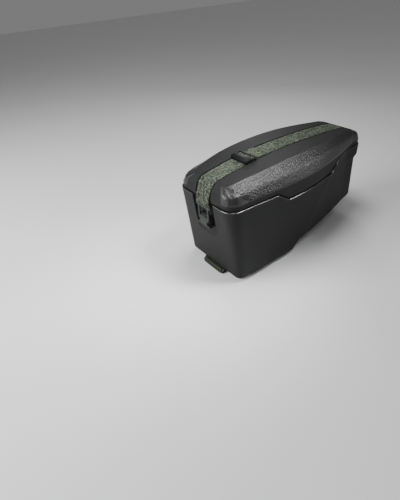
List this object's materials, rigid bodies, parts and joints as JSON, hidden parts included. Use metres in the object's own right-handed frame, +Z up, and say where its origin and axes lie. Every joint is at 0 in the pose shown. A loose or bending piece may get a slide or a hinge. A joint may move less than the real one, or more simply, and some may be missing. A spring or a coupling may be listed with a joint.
{
  "type": "bicycle trunk box",
  "caption": "Hard foam trunk box for a bicycle rack, with a fitted lid held shut by a lengthwise webbing strap, a ladder-lock and a front buckle.",
  "frame": {"origin": "bottom centre of the bounding box: under the middle of the box's length, at the underside of the slide plate", "axes": "+Z up, -X towards the front end with the buckle, -Y towards the long side that faces the camera; the longest side runs along X and the object is symmetric about the XZ plane"},
  "size_m": [0.467, 0.1922, 0.2483],
  "materials": {
    "tub": "fine-beaded moulded foam, charcoal black",
    "lid": "fine-beaded moulded foam, charcoal black, grained shoulders",
    "strap_front": "woven webbing, sage green",
    "strap_rear": "woven webbing, sage green",
    "strap_adjuster": "black moulded plastic",
    "front_buckle": "olive green moulded plastic",
    "front_anchor": "black moulded plastic",
    "rear_anchor": "black moulded plastic",
    "base_plate": "black moulded plastic, matte",
    "release_lever": "olive green moulded plastic, ribbed lip"
  },
  "bodies": {
    "box": {"tub": "tub", "lid": "lid", "strap_front": "strap_front", "strap_rear": "strap_rear", "strap_adjuster": "strap_adjuster", "front_buckle": "front_buckle", "front_anchor": "front_anchor", "rear_anchor": "rear_anchor", "base_plate": "base_plate"},
    "lever": {"release_lever": "release_lever"}
  },
  "joints": [
    {"name": "release_press", "type": "slide", "parent": "box", "child": "lever", "axis": [1, 0, 0], "range_m": [0, 0.005], "stiffness_N_per_m": 600, "springref_m": -0.002}
  ]
}
